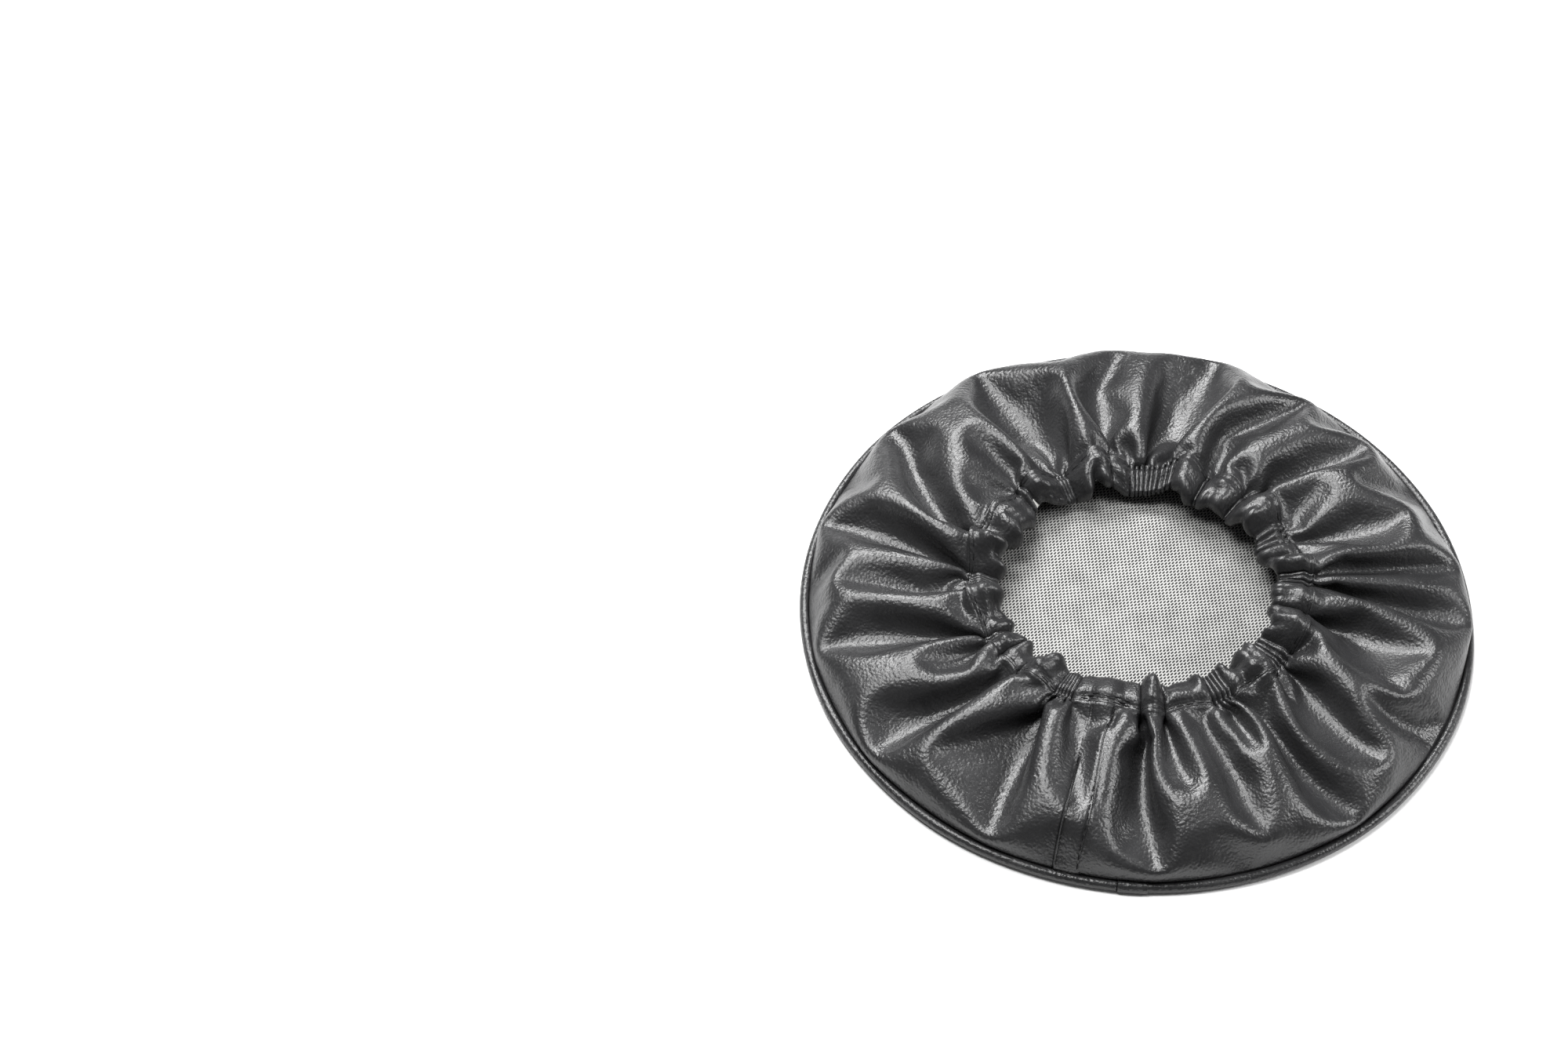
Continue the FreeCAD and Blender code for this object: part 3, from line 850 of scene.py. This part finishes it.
ELASTIC_START = 250.0
ELASTIC_INNER = 17.5 * MM       # its inner edge, from the hem
ELASTIC_OUTER = 5.2 * MM        # its outer edge, clear of the pleats' valleys
ELASTIC_THICK = 1.2 * MM
ELASTIC_LIFT = -0.2 * MM        # of its middle from the hem's own level
LAP_LIFT = -1.45 * MM           # of the lapped end, under the tape
LAP_HALF = 8                    # half of the lap, in degrees
LAP_TAPE = 28 * MM
TACK_LIFT = -2.05 * MM
TACK_ANGLES = (-5, 5)
TACK_OUTER = 2.2 * MM
tape = elastic_points(ELASTIC_START, ELASTIC_START + 359.6, ELASTIC_INNER, ELASTIC_OUTER, ELASTIC_LIFT, 400)
tape_across = np.linspace(0, 2 * math.pi * HEM_RADIUS, 400)
elastic_band = make_ply("elastic_tape", tape, -ELASTIC_THICK / 2, ELASTIC_THICK / 2, elastic, tape_across,
                        closed=False)
lap = elastic_points(ELASTIC_START - LAP_HALF, ELASTIC_START + LAP_HALF, ELASTIC_INNER, ELASTIC_OUTER,
                     LAP_LIFT, 24)
elastic_lap = make_ply("elastic_lapped_end", lap, -ELASTIC_THICK / 2, ELASTIC_THICK / 2, elastic,
                       np.linspace(0, LAP_TAPE, 24), closed=False)


# ---- stitches ----

def place_on(points, row, column):
    """Place and outward direction on a round grid."""
    place = on_cloth(points, row, column)
    side = on_cloth(points, row, column + 1) - on_cloth(points, row, column - 1)
    above = on_cloth(points, min(row + 1, len(points) - 1), column)
    along = above - on_cloth(points, max(row - 1, 0), column)
    out = np.cross(side, along)
    return place, out / max(np.linalg.norm(out), 1e-12)


def column_at(distance):
    """The column, which may lie between two, at a distance along the flat cloth."""
    distance = distance % BAND_LENGTH
    return float(np.interp(distance, across, np.arange(len(across))))


def hem_runs():
    """The hem's stitches. Those shut away in a pleat's bottom are left out of sight."""
    runs = []
    count = round(BAND_LENGTH / STITCH_PITCH)
    for number in range(count):
        ends = []
        for share in (0.1, 0.9):
            column = column_at((number + share) * BAND_LENGTH / count)
            place, out = place_on(casing, 1.2, column)
            ends.append((place + out * 0.5 * MM, out))
        (first, out_first), (last, out_last) = ends
        if np.linalg.norm(last - first) > 0.4 * STITCH_PITCH and np.dot(out_first, out_last) > 0.2:
            runs.append((first, last, out_first + out_last))
    return runs


hem_stitches = sew("hem_stitches", hem_runs(), THREAD, thread)


def seam_runs():
    """The stitches beside the side seam, from the foot of the wall to the hem."""
    runs = []
    column = column_at(math.radians(JOIN_ANGLE) * SEAM_RADIUS + JOIN_WIDTH)
    count = 18
    last_row = len(wall) - 1
    for number in range(count):
        ends = []
        for share in (0.1, 0.9):
            row = 1.5 + (number + share) * (last_row - 2) / count
            place, out = place_on(wall, row, column)
            ends.append((place + out * 0.5 * MM, out))
        (first, out_first), (last, out_last) = ends
        runs.append((first, last, out_first + out_last))
    return runs, count


side_runs, side_count = seam_runs()
side_stitches = sew("side_seam_stitches", side_runs, THREAD, thread)


def stitch_weights(piece):
    """Bakes the placement of a line of side seam stitches into its points."""
    rise_with_mouth(piece)


stitch_weights(side_stitches)


def backtack_runs():
    """The doubled stitches where the hem's sewing starts and stops: a little out of line."""
    runs = []
    start = math.radians(JOIN_ANGLE) * SEAM_RADIUS - 4 * MM
    for row, away in enumerate((2.1, 2.9)):
        for number in range(4):
            at = start + (number + row / 2) * STITCH_PITCH
            first, out_first = place_on(casing, away, column_at(at))
            end = column_at(at + 0.8 * STITCH_PITCH)
            last, out_last = place_on(casing, away + 0.35 * (-1) ** number, end)
            runs.append((first + out_first * 0.5 * MM, last + out_last * 0.5 * MM, out_first + out_last))
    return runs


backtack = sew("hem_backtack_stitches", backtack_runs(), THREAD, thread)
for piece in (hem_stitches, backtack):
    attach(piece, "mouth")


def inner_seam_runs():
    """The hidden line that joins the band's two ends, beside the turned-in plies."""
    runs = []
    column = column_at(math.radians(JOIN_ANGLE) * SEAM_RADIUS - 2 * MM)
    last_row = len(wall) - 1
    for number in range(side_count):
        ends = []
        for share in (0.1, 0.9):
            row = 1.5 + (number + share) * (last_row - 2) / side_count
            place, out = place_on(wall, row, column)
            ends.append((place - out * 0.75 * MM, -out))
        (first, out_first), (last, out_last) = ends
        runs.append((first, last, out_first + out_last))
    return runs


inner_thread = sew("side_seam_inner_stitches", inner_seam_runs(), FINE_THREAD, thread)
stitch_weights(inner_thread)


def turned_ends():
    """The two plies of cloth turned aside under the side seam."""
    first = int(round(column_at(math.radians(JOIN_ANGLE) * SEAM_RADIUS + 0.9 * MM)))
    last = int(round(column_at(math.radians(JOIN_ANGLE) * SEAM_RADIUS + JOIN_WIDTH + 0.8 * MM)))
    strip = wall[2:, first:last + 1]
    pieces = []
    for number, name in enumerate(("side_seam_upper_end", "side_seam_lower_end")):
        top = -0.55 * MM - number * 1.05 * MM
        piece = make_ply(name, strip, top - 1.0 * MM, top, leatherette, across[first:last + 1], closed=False)
        follow_mouth_strip(piece)
        pieces.append(piece)
    return pieces


def follow_mouth_strip(piece):
    """Bakes the placement of a turned end into its points."""
    rise_with_mouth(piece)


upper_end, lower_end = turned_ends()


def tack_runs():
    """Two lines of stitches through the lapped elastic."""
    runs = []
    for turn in TACK_ANGLES:
        at = ELASTIC_START + turn
        strip = elastic_points(at, at + 1, ELASTIC_INNER, TACK_OUTER, TACK_LIFT, 2)
        line = strip[:, 0]
        _, out = mouth_frame(np.radians([ELASTIC_START + turn]))
        for number in (1, 3, 5):
            runs.append((line[number], line[number + 2], -out[0]))
    return runs


tacks = sew("elastic_tack_stitches", tack_runs(), 0.5 * MM, thread)
for piece in (elastic_band, elastic_lap, tacks):
    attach(piece, "mouth")


# ---- the rim ----

PIPING_CENTRE = (COVER_RADIUS - PIPING_RADIUS, PIPING_RADIUS)
WANDER = 0.9 * MM               # of the sewn rim from a true circle


def arc(radius, start, end, count):
    turn = np.radians(np.linspace(start, end, count))
    return list(zip(PIPING_CENTRE[0] + radius * np.cos(turn), PIPING_CENTRE[1] + radius * np.sin(turn)))


def piping_outline():
    """The sleeve's cross-section: round the cord, with its two plies lying flat in the rim seam."""
    mouth = math.degrees(math.asin((FILM + KNIT) / PIPING_RADIUS))
    hole = 2.15 * MM
    height = PIPING_CENTRE[1]
    outline = arc(PIPING_RADIUS, mouth - 180, 180 - mouth, 30)
    outline += [(RAW_EDGE_RADIUS, height + FILM + KNIT), (RAW_EDGE_RADIUS, height + 0.03 * MM)]
    outline += arc(hole, 179, -179, 20)
    outline += [(RAW_EDGE_RADIUS, height - 0.03 * MM), (RAW_EDGE_RADIUS, height - FILM - KNIT)]
    return outline


LAP_ANGLE = 263.5
butt = math.degrees(0.6 * MM / COVER_RADIUS)
whole = 360 - butt - 1e-6
sleeve = turned_ring("piping_sleeve_cloth", piping_outline(), leatherette, LAP_ANGLE + butt, whole, 720, WANDER)
lap_outline = arc(PIPING_RADIUS + 0.6 * MM, -50, 118, 18) + arc(PIPING_RADIUS + 0.02 * MM, 118, -50, 18)
piping_lap = turned_ring("piping_lapped_end", lap_outline, leatherette, LAP_ANGLE,
                         math.degrees(17 * MM / COVER_RADIUS), 24, WANDER)
core_outline = arc(2.1 * MM, -180, 165, 24)
core = turned_ring("piping_core", core_outline, foam, LAP_ANGLE + butt, whole, 480, WANDER)
for piece in (sleeve, piping_lap, core):
    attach(piece, "root")


PANEL_WAVE = 55 * MM            # of the lining's gentle unevenness


def front_panel_points(columns):
    """The round panel's middle surface, a little wavy, with its edge turned back inside the rim seam."""
    turn = 0.525 * MM
    radii = np.r_[np.linspace(3 * MM, 180 * MM, 60), 187 * MM, SEAM_RADIUS - turn - 0.5 * MM]
    line = [(r, 0.5 * MM) for r in radii]
    centre = line[-1]
    line += [(centre[0] + turn * math.sin(t), centre[1] + turn - turn * math.cos(t))
             for t in np.linspace(0, math.pi, 7)[1:]]
    line += [(r, 0.5 * MM + 2 * turn) for r in np.linspace(line[-1][0] - 2 * MM, RAW_EDGE_RADIUS, 5)]
    angle = np.arange(columns) / columns * 2 * math.pi
    rows = []
    for number, (radius, height) in enumerate(line):
        free = np.clip((RAW_EDGE_RADIUS - radius) / (25 * MM), 0, 1) if number < 62 else 0
        wave = np.array([
            noise.noise((radius * math.cos(a) / PANEL_WAVE, radius * math.sin(a) / PANEL_WAVE, 0.4))
            for a in angle
        ])
        rise = 1.6 * MM * free * np.clip(wave + 0.25, 0, 1)
        rows.append(np.stack([radius * np.cos(angle), radius * np.sin(angle), height + rise], -1))
    return np.stack(rows)


PANEL_COLUMNS = 256
panel = front_panel_points(PANEL_COLUMNS)
panel_across = np.linspace(0, 2 * math.pi * SEAM_RADIUS, PANEL_COLUMNS + 1)
panel_skin = make_ply("front_panel_skin", panel, -0.2 * MM, 0.5 * MM, leatherette, panel_across, pole=True)
panel_knit = make_ply("front_panel_lining", panel, -0.5 * MM, -0.2 * MM, knit, panel_across, pole=True)
for piece in (panel_skin, panel_knit):
    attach(piece, "root")
for name in ("rim_seam_thread", "piping_closing_thread"):
    node_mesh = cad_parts[name].data
    node_mesh.materials.clear()
    node_mesh.materials.append(thread)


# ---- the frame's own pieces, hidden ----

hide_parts("side_band_vinyl")
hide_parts("side_band_backing")
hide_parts("side_band_seam_allowance")
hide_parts("side_seam_topstitch")
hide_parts("side_seam_joining_thread")
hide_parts("hem_casing_vinyl")
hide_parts("hem_casing_backing")
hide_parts("elastic_band")
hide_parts("elastic_end_lap")
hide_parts("elastic_joining_thread")
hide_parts("hem_thread")
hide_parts("hem_backtack")
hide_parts("piping_sleeve")
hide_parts("piping_end_lap")
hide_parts("piping_cord")
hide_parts("front_panel_vinyl")
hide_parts("front_panel_backing")


# ---- light, floor and camera ----

def soft_box(name, place, target, size, watts):
    light = bpy.data.lights.new(name, "AREA")
    light.shape = "RECTANGLE"
    light.size, light.size_y = size
    light.energy = watts
    lamp = bpy.data.objects.new(name, light)
    bpy.context.scene.collection.objects.link(lamp)
    lamp.location = place
    lamp.rotation_euler = (Vector(target) - Vector(place)).to_track_quat("-Z", "Y").to_euler()
    return lamp


soft_box("back_light", (-0.35, 1.0, 1.25), (0, 0, 0), (1.1, 0.45), 44)
soft_box("top_light", (-0.5, 0.1, 1.7), (0, 0, 0), (0.6, 0.9), 31)
soft_box("side_light", (1.3, -0.1, 1.0), (0, 0, 0), (0.4, 0.8), 18)

world = bpy.data.worlds.new("studio")
bpy.context.scene.world = world
world.use_nodes = True
world.node_tree.nodes["Background"].inputs["Color"].default_value = (1, 1, 1, 1)
world.node_tree.nodes["Background"].inputs["Strength"].default_value = 0.14

floor_finish, _, _ = new_finish("white paper sweep", Base_Color=linear("#f7f7f7"), Roughness=0.9)
bpy.ops.object.select_all(action="DESELECT")
bpy.ops.mesh.primitive_plane_add(size=30, location=(0, 0, -0.2 * MM))
floor = bpy.context.object
floor.name = "floor"
floor.data.materials.append(floor_finish)

camera = bpy.data.objects.new("camera", bpy.data.cameras.new("camera"))
bpy.context.scene.collection.objects.link(camera)
camera.location = (-0.2085, -1.2665, 1.6576)
camera.rotation_euler = (math.radians(38.82), 0, 0)
camera.data.lens = 80.6
camera.data.sensor_width = 36
bpy.context.scene.camera = camera
bpy.context.scene.view_settings.view_transform = "Standard"
